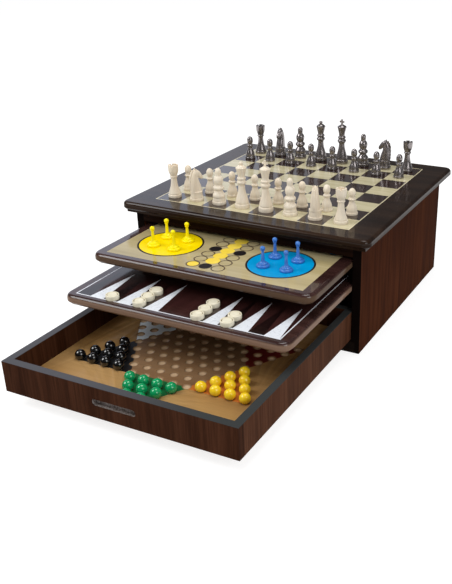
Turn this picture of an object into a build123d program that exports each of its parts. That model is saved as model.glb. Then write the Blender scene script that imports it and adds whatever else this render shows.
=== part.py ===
from build123d import *
from math import atan, cos, degrees, pi, radians, sin, sqrt
import os

# Games compendium box: a cabinet with a chessboard top, two sliding game boards and a
# drawer with a star-shaped marble board, shown pulled out in steps with the pieces set up.
# Millimetres, Z up. X runs left to right along the front, Y runs into the cabinet.
# The origin is the centre of the cabinet's underside.

os.makedirs("parts", exist_ok=True)

# Cabinet
cabinet_width = 270.0
cabinet_depth = 256.0
side_thickness = 9.0
back_thickness = 8.0
bottom_thickness = 12.0
rebate_depth = 4.0
rail_height = 11.0
rail_thickness = 12.0

# Top board
top_overhang = 12.0
top_lip = 8.5
top_step = 4.0
step_inset = 5.0
top_corner = 9.0
top_round = 4.0
lip_chamfer = 1.5

# Inlays
chess_margin = 23.6
line_width = 1.2
tile_gap = 0.1
veneer = 0.8

# Sliding boards and drawer
slide_gap = 0.3
side_gap = 0.6
runner_width = 8.0
runner_setback = 8.0
glide_height = 2.7
lower_runner_height = 20.0
middle_runner_height = 15.6
upper_runner_height = 14.4
board_thickness = 10.0
board_length = 244.0
board_corner = 12.0
nose_round = 4.2
nose_chamfer = 3.0
ludo_out = 95.0
backgammon_out = 143.0
drawer_length = 242.0
drawer_engaged = 11.0
drawer_height = 32.0
drawer_wall = 8.0
floor_thickness = 5.0
floor_rise = 3.4
floor_groove = 3.0
slot_length = 47.0
slot_height = 7.0
slot_depth = 5.5

# Star board: rows of dimples from the middle to the hexagon's edge, and rows in each tip
hexagon_rows = 4
tip_rows = 4
tip_turn = 60.0
star_margin = 6.3
dimple_radius = 4.6
dimple_depth = 1.5
marble_radius = 5.5

# Backgammon layout
backgammon_margin = 8.0
point_length = 63.0
point_gap = 0.2
bar_width = 33.6
checker_radius = 6.7
checker_height = 5.0
checker_round = 0.9
checker_pitch = 14.0
first_checker = 4.0

# Ludo layout
ludo_margin = 10.0
ludo_border = 4.0
disc_cells = 4.5
pawn_spread = 12.8
ludo_pawn_height = 21.5
ludo_pawn_radius = 6.8

# Chess pieces: height and base radius
pawn_size = (28.5, 6.4)
rook_size = (36.5, 7.4)
knight_size = (36.5, 7.6)
bishop_size = (40.0, 7.6)
queen_size = (50.5, 7.9)
king_size = (55.0, 7.9)
turned_sides = 8

# Levels, from the floor up
glide_top = bottom_thickness + glide_height
drawer_base = glide_top + slide_gap
drawer_rim = drawer_base + drawer_height
lower_runner_base = drawer_rim + slide_gap
backgammon_base = lower_runner_base + lower_runner_height + slide_gap
backgammon_face = backgammon_base + board_thickness
middle_runner_base = backgammon_face + slide_gap
ludo_base = middle_runner_base + middle_runner_height + slide_gap
ludo_face = ludo_base + board_thickness
upper_runner_base = ludo_face + slide_gap
cabinet_height = upper_runner_base + upper_runner_height
top_face = cabinet_height + top_step + top_lip
drawer_floor_base = drawer_base + floor_rise
drawer_floor_face = drawer_floor_base + floor_thickness

# Plan positions
front = -cabinet_depth / 2
inner_width = cabinet_width - 2 * side_thickness
inner_back = cabinet_depth / 2 - back_thickness
tray_width = inner_width - 2 * side_gap
chess_field = min(cabinet_width, cabinet_depth) + 2 * (top_overhang - chess_margin - line_width)
square = chess_field / 8
field_room = min(tray_width, board_length)
ludo_front = front - ludo_out
ludo_field_size = field_room - 2 * ludo_margin
ludo_middle = ludo_front + ludo_margin + ludo_field_size / 2
ludo_cell = (ludo_field_size - 2 * ludo_border) / 15
backgammon_front = front - backgammon_out
backgammon_field_size = field_room - 2 * (backgammon_margin + line_width)
backgammon_middle = backgammon_front + field_room / 2
point_pitch = (backgammon_field_size - bar_width) / 12
point_base_row = backgammon_field_size / 2
drawer_front_face = front - drawer_length + drawer_engaged
drawer_middle = drawer_front_face + drawer_length / 2
drawer_inner_width = tray_width - 2 * drawer_wall
drawer_inner_length = drawer_length - 2 * drawer_wall


# The six wooden panels of the cabinet
def side_panel(side):
    """One side panel, rebated inside for the back and the bottom; side is -1 left, 1 right."""
    inner = side * (cabinet_width / 2 - side_thickness)
    with BuildPart(mode=Mode.PRIVATE) as panel:
        with BuildSketch():
            with Locations((inner + side * side_thickness / 2, 0)):
                Rectangle(side_thickness, cabinet_depth)
        extrude(amount=cabinet_height)
        with BuildSketch():
            with Locations((inner, cabinet_depth / 2)):
                Rectangle(2 * rebate_depth, 2 * back_thickness)
        extrude(amount=cabinet_height, mode=Mode.SUBTRACT)
        with BuildSketch():
            with Locations((inner, 0)):
                Rectangle(2 * rebate_depth, cabinet_depth)
        extrude(amount=bottom_thickness, mode=Mode.SUBTRACT)
    return panel.part


with BuildPart() as left_side:
    add(side_panel(-1))
left_side.part.label = "left_side"
export_step(left_side.part, "parts/left_side.step")

with BuildPart() as right_side:
    add(side_panel(1))
right_side.part.label = "right_side"
export_step(right_side.part, "parts/right_side.step")

with BuildPart() as back_panel:
    with BuildSketch():
        with Locations((0, inner_back + back_thickness / 2)):
            Rectangle(inner_width + 2 * rebate_depth, back_thickness)
    extrude(amount=cabinet_height)
back_panel.part.label = "back_panel"
export_step(back_panel.part, "parts/back_panel.step")

with BuildPart() as bottom_panel:
    with BuildSketch():
        with Locations((0, (front + inner_back) / 2)):
            Rectangle(inner_width + 2 * rebate_depth, inner_back - front)
    extrude(amount=bottom_thickness)
bottom_panel.part.label = "bottom_panel"
export_step(bottom_panel.part, "parts/bottom_panel.step")

with BuildPart() as top_rail:
    with BuildSketch(Plane.XY.offset(cabinet_height - rail_height)):
        with Locations((0, front + rail_thickness / 2)):
            Rectangle(inner_width, rail_thickness)
    extrude(amount=rail_height)
top_rail.part.label = "top_rail"
export_step(top_rail.part, "parts/top_rail.step")

# Moulded top: a rounded lip over a stepped underside, with a pocket for the chess veneers
with BuildPart() as top_board:
    with BuildSketch(Plane.XY.offset(cabinet_height + top_step)):
        RectangleRounded(cabinet_width + 2 * top_overhang, cabinet_depth + 2 * top_overhang, top_corner)
    extrude(amount=top_lip)
    fillet(top_board.faces().sort_by(Axis.Z)[-1].edges(), top_round)
    chamfer(top_board.faces().sort_by(Axis.Z)[0].edges(), lip_chamfer)
    with BuildSketch(Plane.XY.offset(cabinet_height)):
        Rectangle(
            cabinet_width + 2 * (top_overhang - step_inset),
            cabinet_depth + 2 * (top_overhang - step_inset),
        )
    extrude(amount=top_step)
    with BuildSketch(Plane.XY.offset(top_face)):
        Rectangle(chess_field + 2 * line_width, chess_field + 2 * line_width)
    extrude(amount=-veneer, mode=Mode.SUBTRACT)
top_board.part.label = "top_board"
export_step(top_board.part, "parts/top_board.step")


def square_centre(column, row):
    """Centre of a chess square; column 0 is at the left and row 0 at the front."""
    return ((column - 3.5) * square, (row - 3.5) * square)


def squares(colour):
    """Centres of the 32 squares of one colour: 0 dark, 1 light. The front left square is dark."""
    return [
        square_centre(column, row)
        for column in range(8)
        for row in range(8)
        if (column + row) % 2 == colour
    ]


with BuildPart() as dark_squares:
    with BuildSketch(Plane.XY.offset(top_face - veneer)):
        with Locations(*squares(0)):
            Rectangle(square - tile_gap, square - tile_gap)
    extrude(amount=veneer)
dark_squares.part.label = "dark_squares"
export_step(dark_squares.part, "parts/dark_squares.step")

with BuildPart() as light_squares:
    with BuildSketch(Plane.XY.offset(top_face - veneer)):
        with Locations(*squares(1)):
            Rectangle(square - tile_gap, square - tile_gap)
    extrude(amount=veneer)
light_squares.part.label = "light_squares"
export_step(light_squares.part, "parts/light_squares.step")

with BuildPart() as chess_line:
    with BuildSketch(Plane.XY.offset(top_face - veneer)):
        Rectangle(chess_field + 2 * line_width, chess_field + 2 * line_width)
        Rectangle(chess_field, chess_field, mode=Mode.SUBTRACT)
    extrude(amount=veneer)
chess_line.part.label = "chess_line"
export_step(chess_line.part, "parts/chess_line.step")


# Runner battens along both sides, which carry and guide the boards and the drawer
def runner_pair(base, height, start):
    """Left and right battens from Y = start to the back panel."""
    with BuildPart(mode=Mode.PRIVATE) as pair:
        with BuildSketch(Plane.XY.offset(base)):
            with Locations((0, (start + inner_back) / 2)):
                with GridLocations(inner_width - runner_width, 0, 2, 1):
                    Rectangle(runner_width, inner_back - start)
        extrude(amount=height)
    return pair.part


with BuildPart() as drawer_glides:
    add(runner_pair(bottom_thickness, glide_height, front + runner_setback))
drawer_glides.part.label = "drawer_glides"
export_step(drawer_glides.part, "parts/drawer_glides.step")

with BuildPart() as lower_runners:
    add(runner_pair(lower_runner_base, lower_runner_height, front + runner_setback))
lower_runners.part.label = "lower_runners"
export_step(lower_runners.part, "parts/lower_runners.step")

with BuildPart() as middle_runners:
    add(runner_pair(middle_runner_base, middle_runner_height, front + runner_setback))
middle_runners.part.label = "middle_runners"
export_step(middle_runners.part, "parts/middle_runners.step")

with BuildPart() as upper_runners:
    add(runner_pair(upper_runner_base, upper_runner_height, front + rail_thickness))
upper_runners.part.label = "upper_runners"
export_step(upper_runners.part, "parts/upper_runners.step")


# Sliding boards: rounded front corners and a bullnose edge, with a pocket for the playing field
def sliding_board(base, front_edge, pocket, pocket_middle):
    """A board with its underside at Z = base, its front edge at Y = front_edge and a square pocket."""
    with BuildPart(mode=Mode.PRIVATE) as board:
        with BuildSketch(Plane.XY.offset(base)):
            with Locations((0, front_edge + board_length / 2)):
                Rectangle(tray_width, board_length)
        extrude(amount=board_thickness)
        fillet(board.edges().filter_by(Axis.Z).group_by(Axis.Y)[0], board_corner)
        chamfer(board.faces().sort_by(Axis.Z)[0].edges().sort_by(Axis.Y)[:-1], nose_chamfer)
        fillet(board.faces().sort_by(Axis.Z)[-1].edges().sort_by(Axis.Y)[:-1], nose_round)
        with BuildSketch(Plane.XY.offset(base + board_thickness)):
            with Locations((0, pocket_middle)):
                Rectangle(pocket, pocket)
        extrude(amount=-veneer, mode=Mode.SUBTRACT)
    return board.part


with BuildPart() as ludo_board:
    add(sliding_board(ludo_base, ludo_front, ludo_field_size, ludo_middle))
ludo_board.part.label = "ludo_board"
export_step(ludo_board.part, "parts/ludo_board.step")

with BuildPart() as ludo_field:
    with BuildSketch(Plane.XY.offset(ludo_face - veneer)):
        with Locations((0, ludo_middle)):
            Rectangle(ludo_field_size, ludo_field_size)
    extrude(amount=veneer)
ludo_field.part.label = "ludo_field"
export_step(ludo_field.part, "parts/ludo_field.step")

backgammon_pocket = backgammon_field_size + 2 * line_width

with BuildPart() as backgammon_board:
    add(sliding_board(backgammon_base, backgammon_front, backgammon_pocket, backgammon_middle))
backgammon_board.part.label = "backgammon_board"
export_step(backgammon_board.part, "parts/backgammon_board.step")

with BuildPart() as backgammon_line:
    with BuildSketch(Plane.XY.offset(backgammon_face - veneer)):
        with Locations((0, backgammon_middle)):
            Rectangle(backgammon_pocket, backgammon_pocket)
            Rectangle(backgammon_field_size, backgammon_field_size, mode=Mode.SUBTRACT)
    extrude(amount=veneer)
backgammon_line.part.label = "backgammon_line"
export_step(backgammon_line.part, "parts/backgammon_line.step")


def point_middle(number):
    """X of a point's centre line, number 0 to 11 from the left, with the bar after the sixth."""
    return (number - 5.5) * point_pitch + (bar_width / 2 if number > 5 else -bar_width / 2)


def points(colour):
    """The 12 points of one colour, front and back rows: 0 dark, 1 light."""
    half_base = (point_pitch - point_gap) / 2
    with BuildPart(mode=Mode.PRIVATE) as wedges:
        with BuildSketch(Plane.XY.offset(backgammon_face - veneer)):
            for row, side in ((0, -1), (1, 1)):
                base_row = backgammon_middle + side * point_base_row
                tip_row = base_row - side * point_length
                for number in range(12):
                    if (number + row) % 2 == colour:
                        middle = point_middle(number)
                        with BuildLine():
                            Polyline(
                                (middle - half_base, base_row),
                                (middle + half_base, base_row),
                                (middle, tip_row),
                                close=True,
                            )
                        make_face()
        extrude(amount=veneer)
    return wedges.part


with BuildPart() as dark_points:
    add(points(0))
dark_points.part.label = "dark_points"
export_step(dark_points.part, "parts/dark_points.step")

with BuildPart() as light_points:
    add(points(1))
light_points.part.label = "light_points"
export_step(light_points.part, "parts/light_points.step")

with BuildPart() as backgammon_field:
    with BuildSketch(Plane.XY.offset(backgammon_face - veneer)):
        with Locations((0, backgammon_middle)):
            Rectangle(backgammon_field_size, backgammon_field_size)
    extrude(amount=veneer)
    add(dark_points.part, mode=Mode.SUBTRACT)
    add(light_points.part, mode=Mode.SUBTRACT)
backgammon_field.part.label = "backgammon_field"
export_step(backgammon_field.part, "parts/backgammon_field.step")

# Drawer: four walls grooved round a floor panel
with BuildPart() as drawer_floor_blank:
    with BuildSketch(Plane.XY.offset(drawer_floor_base)):
        with Locations((0, drawer_middle)):
            Rectangle(drawer_inner_width + 2 * floor_groove, drawer_inner_length + 2 * floor_groove)
    extrude(amount=floor_thickness)

with BuildPart() as drawer_front:
    with BuildSketch(Plane.XY.offset(drawer_base)):
        with Locations((0, drawer_front_face + drawer_wall / 2)):
            Rectangle(tray_width, drawer_wall)
    extrude(amount=drawer_height)
    add(drawer_floor_blank.part, mode=Mode.SUBTRACT)
    with BuildSketch(Plane.XZ.offset(-drawer_front_face)):
        with Locations((0, drawer_base + drawer_height / 2)):
            SlotOverall(slot_length, slot_height)
    extrude(amount=-slot_depth, mode=Mode.SUBTRACT)
drawer_front.part.label = "drawer_front"
export_step(drawer_front.part, "parts/drawer_front.step")

with BuildPart() as drawer_back:
    with BuildSketch(Plane.XY.offset(drawer_base)):
        with Locations((0, drawer_front_face + drawer_length - drawer_wall / 2)):
            Rectangle(tray_width, drawer_wall)
    extrude(amount=drawer_height)
    add(drawer_floor_blank.part, mode=Mode.SUBTRACT)
drawer_back.part.label = "drawer_back"
export_step(drawer_back.part, "parts/drawer_back.step")


def drawer_side(side):
    """One drawer side between the front and the back; side is -1 left, 1 right."""
    with BuildPart(mode=Mode.PRIVATE) as wall:
        with BuildSketch(Plane.XY.offset(drawer_base)):
            with Locations((side * (tray_width - drawer_wall) / 2, drawer_middle)):
                Rectangle(drawer_wall, drawer_inner_length)
        extrude(amount=drawer_height)
        add(drawer_floor_blank.part, mode=Mode.SUBTRACT)
    return wall.part


with BuildPart() as drawer_left:
    add(drawer_side(-1))
drawer_left.part.label = "drawer_left"
export_step(drawer_left.part, "parts/drawer_left.step")

with BuildPart() as drawer_right:
    add(drawer_side(1))
drawer_right.part.label = "drawer_right"
export_step(drawer_right.part, "parts/drawer_right.step")

# Star board in the drawer: a hexagon of 61 dimples with six tips of ten
row_pitch = (drawer_inner_length / 2 - star_margin) / (hexagon_rows + tip_rows)
hole_pitch = row_pitch * 2 / sqrt(3)


def hexagon_holes():
    """The 61 dimples of the middle hexagon, five along each side."""
    widest = 2 * hexagon_rows + 1
    return [
        ((place - (widest - 1 - abs(row)) / 2) * hole_pitch, drawer_middle + row * row_pitch)
        for row in range(-hexagon_rows, hexagon_rows + 1)
        for place in range(widest - abs(row))
    ]


def tip_holes(turn):
    """The ten dimples of the front tip, turned about the star's centre by so many degrees."""
    front_tip = [
        ((place - (tip_rows - 1 - row) / 2) * hole_pitch, -(hexagon_rows + 1 + row) * row_pitch)
        for row in range(tip_rows)
        for place in range(tip_rows - row)
    ]
    c, s = cos(radians(turn)), sin(radians(turn))
    return [(x * c - y * s, drawer_middle + x * s + y * c) for x, y in front_tip]


# Turned pieces, faceted round the axis. An outline runs up the side as (height, radius) points;
# two points at one height make a flat shoulder.
def taper_to(one_radius, other_radius, rise, sides):
    """Taper angle between two corner radii of a regular polygon over a rise."""
    return degrees(atan(abs(one_radius - other_radius) * cos(pi / sides) / rise))


def tapered_slice(wide_radius, narrow_radius, rise, sides):
    """A slice of a faceted piece, wide end on the XY plane and narrow end up."""
    with BuildPart(mode=Mode.PRIVATE) as slice_of_piece:
        with BuildSketch():
            RegularPolygon(wide_radius, sides)
        extrude(amount=rise, taper=taper_to(wide_radius, narrow_radius, rise, sides))
    return slice_of_piece.part


def turned(base, outline, sides):
    """A piece turned on the Z axis from Z = base, as a stack of the outline's slices."""
    with BuildPart(mode=Mode.PRIVATE) as piece:
        for (low, low_radius), (high, high_radius) in zip(outline, outline[1:]):
            if high == low:
                continue
            if low_radius >= high_radius:
                wide_end = Location((0, 0, base + low))
            else:
                wide_end = Location((0, 0, base + high), (180, 0, 0))
            wide_radius = max(low_radius, high_radius)
            narrow_radius = min(low_radius, high_radius)
            with Locations(wide_end):
                add(tapered_slice(wide_radius, narrow_radius, high - low, sides))
    return piece.part


def scaled(outline, size):
    """An outline given as shares of the height and base radius, in millimetres."""
    height, radius = size
    return [(share * height, width * radius) for share, width in outline]


def head(bottom, top, neck, ball):
    """Outline shares of a ball head between two heights."""
    rise = top - bottom
    return [(bottom, neck), (bottom + 0.3 * rise, ball), (bottom + 0.7 * rise, ball), (top, 0.45 * ball)]


dimple_sides = 6
star_holes = hexagon_holes() + [hole for tip in range(6) for hole in tip_holes(tip * tip_turn)]

with BuildPart() as dimple:
    add(
        turned(
            drawer_floor_face - dimple_depth,
            [(0, 0), (dimple_depth, dimple_radius)],
            dimple_sides,
        )
    )

with BuildPart() as drawer_floor:
    add(drawer_floor_blank.part)
    with Locations(*star_holes):
        add(dimple.part, mode=Mode.SUBTRACT)
drawer_floor.part.label = "drawer_floor"
export_step(drawer_floor.part, "parts/drawer_floor.step")

foot = [(0, 1.0), (0.09, 1.0), (0.13, 0.9)]

with BuildPart() as pawn:
    add(
        turned(
            top_face,
            scaled(
                [(0, 1.0), (0.13, 0.97), (0.34, 0.7), (0.56, 0.44), (0.56, 0.62), (0.62, 0.62)]
                + head(0.62, 1.0, 0.42, 0.62),
                pawn_size,
            ),
            turned_sides,
        )
    )

with BuildPart() as rook:
    add(
        turned(
            top_face,
            scaled(
                foot + [(0.28, 0.68), (0.62, 0.44), (0.62, 0.58), (0.67, 0.5), (0.86, 0.72), (1.0, 0.76)],
                rook_size,
            ),
            turned_sides,
        )
    )
    with BuildSketch(Plane.XY.offset(top_face + rook_size[0])):
        RegularPolygon(0.52 * rook_size[1], turned_sides)
        Rectangle(2 * rook_size[1], 0.3 * rook_size[1])
        Rectangle(0.3 * rook_size[1], 2 * rook_size[1])
    extrude(amount=-0.07 * rook_size[0], mode=Mode.SUBTRACT)

with BuildPart() as bishop:
    add(
        turned(
            top_face,
            scaled(
                foot + [(0.26, 0.76), (0.42, 0.54), (0.42, 0.78), (0.48, 0.72), (0.48, 0.5), (0.58, 0.44)]
                + [(0.71, 0.62), (0.88, 0.24), (0.88, 0.3), (0.96, 0.3), (1.0, 0.14)],
                bishop_size,
            ),
            turned_sides,
        )
    )
    with BuildSketch(Plane.XZ):
        with Locations((0.36 * bishop_size[1], top_face + 0.8 * bishop_size[0])):
            Rectangle(0.16 * bishop_size[1], 0.16 * bishop_size[0], rotation=-30)
    extrude(amount=bishop_size[1], both=True, mode=Mode.SUBTRACT)

with BuildPart() as queen:
    add(
        turned(
            top_face,
            scaled(
                foot + [(0.26, 0.7), (0.54, 0.44), (0.54, 0.66), (0.58, 0.66), (0.64, 0.46), (0.7, 0.43)]
                + [(0.87, 0.72), (0.92, 0.5)]
                + head(0.92, 1.0, 0.2, 0.28),
                queen_size,
            ),
            turned_sides,
        )
    )

with BuildPart() as king:
    add(
        turned(
            top_face,
            scaled(
                foot + [(0.24, 0.74), (0.48, 0.48), (0.48, 0.68), (0.53, 0.68), (0.58, 0.48), (0.66, 0.43)]
                + [(0.82, 0.7), (0.88, 0.44)],
                king_size,
            ),
            turned_sides,
        )
    )
    cross_base = top_face + 0.88 * king_size[0]
    cross_top = top_face + king_size[0]
    cross_width = 0.2 * king_size[1]
    with BuildSketch(Plane.XZ):
        with Locations((0, (cross_base + cross_top) / 2)):
            Rectangle(cross_width, cross_top - cross_base)
            Rectangle(0.72 * king_size[1], 0.3 * (cross_top - cross_base))
    extrude(amount=cross_width / 2, both=True)

# Knight: a turned foot with a horse's head that looks along +X and narrows toward its ears
with BuildPart() as knight:
    knight_height, knight_radius = knight_size
    neck_height = 0.27 * knight_height
    neck_width, ear_width = 0.8 * knight_radius, 0.38 * knight_radius
    with BuildSketch(Plane.XZ):
        with BuildLine():
            back = Spline(
                (-0.84 * knight_radius, top_face + neck_height),
                (-0.9 * knight_radius, top_face + 0.64 * knight_height),
                (-0.24 * knight_radius, top_face + 0.96 * knight_height),
            )
            Polyline(
                back @ 1,
                (0.02 * knight_radius, top_face + knight_height),
                (0.34 * knight_radius, top_face + 0.94 * knight_height),
                (1.02 * knight_radius, top_face + 0.76 * knight_height),
                (0.94 * knight_radius, top_face + 0.67 * knight_height),
                (0.4 * knight_radius, top_face + 0.67 * knight_height),
                (0.3 * knight_radius, top_face + 0.6 * knight_height),
                (0.7 * knight_radius, top_face + 0.42 * knight_height),
                (0.76 * knight_radius, top_face + neck_height),
                back @ 0,
            )
        make_face()
    extrude(amount=neck_width, both=True)
    with BuildSketch(Plane.YZ):
        Polygon(
            (-neck_width, top_face + neck_height),
            (neck_width, top_face + neck_height),
            (ear_width, top_face + knight_height),
            (-ear_width, top_face + knight_height),
            align=None,
        )
    extrude(amount=2 * knight_radius, both=True, mode=Mode.INTERSECT)
    add(turned(top_face, scaled(foot + [(0.27, 0.86)], knight_size), turned_sides))


def chess_set(piece, columns, row, turns=(0,)):
    """Copies of one chessman on the squares of a row, each turned about its own axis."""
    with BuildPart(mode=Mode.PRIVATE) as men:
        for place, column in enumerate(columns):
            x, y = square_centre(column, row)
            with Locations(Location((x, y, 0), (0, 0, turns[place % len(turns)]))):
                add(piece.part)
    return men.part


every_column = range(8)
rook_columns = (0, 7)
knight_columns = (1, 6)
bishop_columns = (2, 5)
queen_column = (3,)
king_column = (4,)
to_the_back = 90
to_the_front = -90
to_the_left = 180
white_row, white_pawn_row = 0, 1
black_pawn_row, black_row = 6, 7

with BuildPart() as white_pawns:
    add(chess_set(pawn, every_column, white_pawn_row))
white_pawns.part.label = "white_pawns"
export_step(white_pawns.part, "parts/white_pawns.step")

with BuildPart() as white_rooks:
    add(chess_set(rook, rook_columns, white_row))
white_rooks.part.label = "white_rooks"
export_step(white_rooks.part, "parts/white_rooks.step")

with BuildPart() as white_knights:
    add(chess_set(knight, knight_columns, white_row, (to_the_back,)))
white_knights.part.label = "white_knights"
export_step(white_knights.part, "parts/white_knights.step")

with BuildPart() as white_bishops:
    add(chess_set(bishop, bishop_columns, white_row, (to_the_back,)))
white_bishops.part.label = "white_bishops"
export_step(white_bishops.part, "parts/white_bishops.step")

with BuildPart() as white_queen:
    add(chess_set(queen, queen_column, white_row))
white_queen.part.label = "white_queen"
export_step(white_queen.part, "parts/white_queen.step")

with BuildPart() as white_king:
    add(chess_set(king, king_column, white_row))
white_king.part.label = "white_king"
export_step(white_king.part, "parts/white_king.step")

with BuildPart() as black_pawns:
    add(chess_set(pawn, every_column, black_pawn_row))
black_pawns.part.label = "black_pawns"
export_step(black_pawns.part, "parts/black_pawns.step")

with BuildPart() as black_rooks:
    add(chess_set(rook, rook_columns, black_row))
black_rooks.part.label = "black_rooks"
export_step(black_rooks.part, "parts/black_rooks.step")

with BuildPart() as black_knights:
    add(chess_set(knight, knight_columns, black_row, (to_the_front, to_the_left)))
black_knights.part.label = "black_knights"
export_step(black_knights.part, "parts/black_knights.step")

with BuildPart() as black_bishops:
    add(chess_set(bishop, bishop_columns, black_row, (to_the_front,)))
black_bishops.part.label = "black_bishops"
export_step(black_bishops.part, "parts/black_bishops.step")

with BuildPart() as black_queen:
    add(chess_set(queen, queen_column, black_row))
black_queen.part.label = "black_queen"
export_step(black_queen.part, "parts/black_queen.step")

with BuildPart() as black_king:
    add(chess_set(king, king_column, black_row))
black_king.part.label = "black_king"
export_step(black_king.part, "parts/black_king.step")

# Ludo pawns, four on each starting disc
with BuildPart() as ludo_pawn:
    add(
        turned(
            ludo_face,
            scaled(
                [(0, 1.0), (0.08, 1.0), (0.3, 0.32), (0.74, 0.2)] + head(0.74, 1.0, 0.2, 0.4),
                (ludo_pawn_height, ludo_pawn_radius),
            ),
            turned_sides,
        )
    )


def ludo_set(side):
    """Four pawns round the middle of a front starting disc; side is -1 left, 1 right."""
    disc_offset = disc_cells * ludo_cell
    with BuildPart(mode=Mode.PRIVATE) as pawns:
        with Locations((side * disc_offset, ludo_middle - disc_offset)):
            with GridLocations(2 * pawn_spread, 2 * pawn_spread, 2, 2):
                add(ludo_pawn.part)
    return pawns.part


with BuildPart() as yellow_pawns:
    add(ludo_set(-1))
yellow_pawns.part.label = "yellow_pawns"
export_step(yellow_pawns.part, "parts/yellow_pawns.step")

with BuildPart() as blue_pawns:
    add(ludo_set(1))
blue_pawns.part.label = "blue_pawns"
export_step(blue_pawns.part, "parts/blue_pawns.step")

# Checkers: runs of one, three, three and two on the front row's dark points
checker_sides = 12
checker_counts = ((2, 1), (4, 3), (6, 3), (8, 2))
first_checker_row = backgammon_middle - point_base_row + first_checker
checker_places = [
    (point_middle(point), first_checker_row + step * checker_pitch)
    for point, count in checker_counts
    for step in range(count)
]

with BuildPart() as checker:
    add(
        turned(
            backgammon_face,
            [
                (0, checker_radius),
                (checker_height - checker_round, checker_radius),
                (checker_height, checker_radius - checker_round),
            ],
            checker_sides,
        )
    )

with BuildPart() as ivory_checkers:
    with Locations(*checker_places):
        add(checker.part)
ivory_checkers.part.label = "ivory_checkers"
export_step(ivory_checkers.part, "parts/ivory_checkers.step")

# Marbles, ten in each of the three front tips of the star
marble_ring = marble_radius / sqrt(2)

with BuildPart() as marble:
    add(
        turned(
            drawer_floor_face - dimple_depth,
            [
                (0, 0),
                (marble_radius - marble_ring, marble_ring),
                (marble_radius, marble_radius),
                (marble_radius + marble_ring, marble_ring),
                (2 * marble_radius, 0),
            ],
            turned_sides,
        )
    )

with BuildPart() as green_marbles:
    with Locations(*tip_holes(0)):
        add(marble.part)
green_marbles.part.label = "green_marbles"
export_step(green_marbles.part, "parts/green_marbles.step")

with BuildPart() as yellow_marbles:
    with Locations(*tip_holes(tip_turn)):
        add(marble.part)
yellow_marbles.part.label = "yellow_marbles"
export_step(yellow_marbles.part, "parts/yellow_marbles.step")

with BuildPart() as black_marbles:
    with Locations(*tip_holes(-tip_turn)):
        add(marble.part)
black_marbles.part.label = "black_marbles"
export_step(black_marbles.part, "parts/black_marbles.step")
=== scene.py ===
import math

import bmesh
import bpy
from mathutils import Matrix, Vector


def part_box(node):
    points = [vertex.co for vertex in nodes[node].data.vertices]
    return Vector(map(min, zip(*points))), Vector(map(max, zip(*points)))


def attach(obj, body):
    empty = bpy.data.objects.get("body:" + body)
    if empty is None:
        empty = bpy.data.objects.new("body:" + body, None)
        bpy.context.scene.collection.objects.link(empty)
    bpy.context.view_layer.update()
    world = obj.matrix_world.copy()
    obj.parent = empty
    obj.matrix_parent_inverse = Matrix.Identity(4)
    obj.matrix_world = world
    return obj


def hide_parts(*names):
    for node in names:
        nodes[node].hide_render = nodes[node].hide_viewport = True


# Games compendium box: looks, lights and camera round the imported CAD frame. Metres, Z up.
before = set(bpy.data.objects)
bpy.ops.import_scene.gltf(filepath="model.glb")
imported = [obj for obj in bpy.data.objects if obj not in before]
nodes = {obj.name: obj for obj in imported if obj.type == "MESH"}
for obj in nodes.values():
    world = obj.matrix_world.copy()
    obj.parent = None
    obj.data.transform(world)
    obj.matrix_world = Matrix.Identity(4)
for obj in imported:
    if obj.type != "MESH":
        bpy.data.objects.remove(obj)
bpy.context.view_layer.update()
MM = 0.001
WHITE = (1, 1, 1, 1)


# ---------------------------------------------------------------- places read from the frame
def middle(low, high):
    return (low + high) / 2


dark_low, dark_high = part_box("dark_squares")
ludo_low, ludo_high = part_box("ludo_field")
floor_low, floor_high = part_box("drawer_floor")
front_low, front_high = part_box("drawer_front")

CABINET_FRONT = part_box("right_side")[0].y
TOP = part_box("top_board")[1].z
SIDE_SQUARES = 8
SQUARE = (dark_high.x - dark_low.x) / SIDE_SQUARES

LUDO_BORDER = 4 * MM
TRACK_CELLS = 15
LUDO_TOP = ludo_high.z
LUDO_X, LUDO_Y = middle(ludo_low.x, ludo_high.x), middle(ludo_low.y, ludo_high.y)
CELL = (ludo_high.x - ludo_low.x - 2 * LUDO_BORDER) / TRACK_CELLS
GAMMON_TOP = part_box("backgammon_field")[1].z

FRONT_FACE = front_low.y
RIM = front_high.z
SLOT_MIDDLE = middle(front_low.z, RIM)
SLOT_HALF_HEIGHT, SLOT_HALF_LENGTH = 3.5 * MM, 23.5 * MM

DRAWER_FLOOR = floor_high.z
STAR_MARGIN = 9.3 * MM
TIP_ROWS = 4
STAR_Y = middle(floor_low.y, floor_high.y)
ROW_PITCH = ((floor_high.y - floor_low.y) / 2 - STAR_MARGIN) / (2 * TIP_ROWS)
HOLE_PITCH = ROW_PITCH * 2 / math.sqrt(3)


# ---------------------------------------------------------------- materials
def rgb(r, g, b):
    """Linear colour from 8-bit sRGB values as seen in a picture."""
    def linear(v):
        v /= 255
        return v / 12.92 if v <= 0.04045 else ((v + 0.055) / 1.055) ** 2.4
    return (linear(r), linear(g), linear(b), 1)


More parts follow.
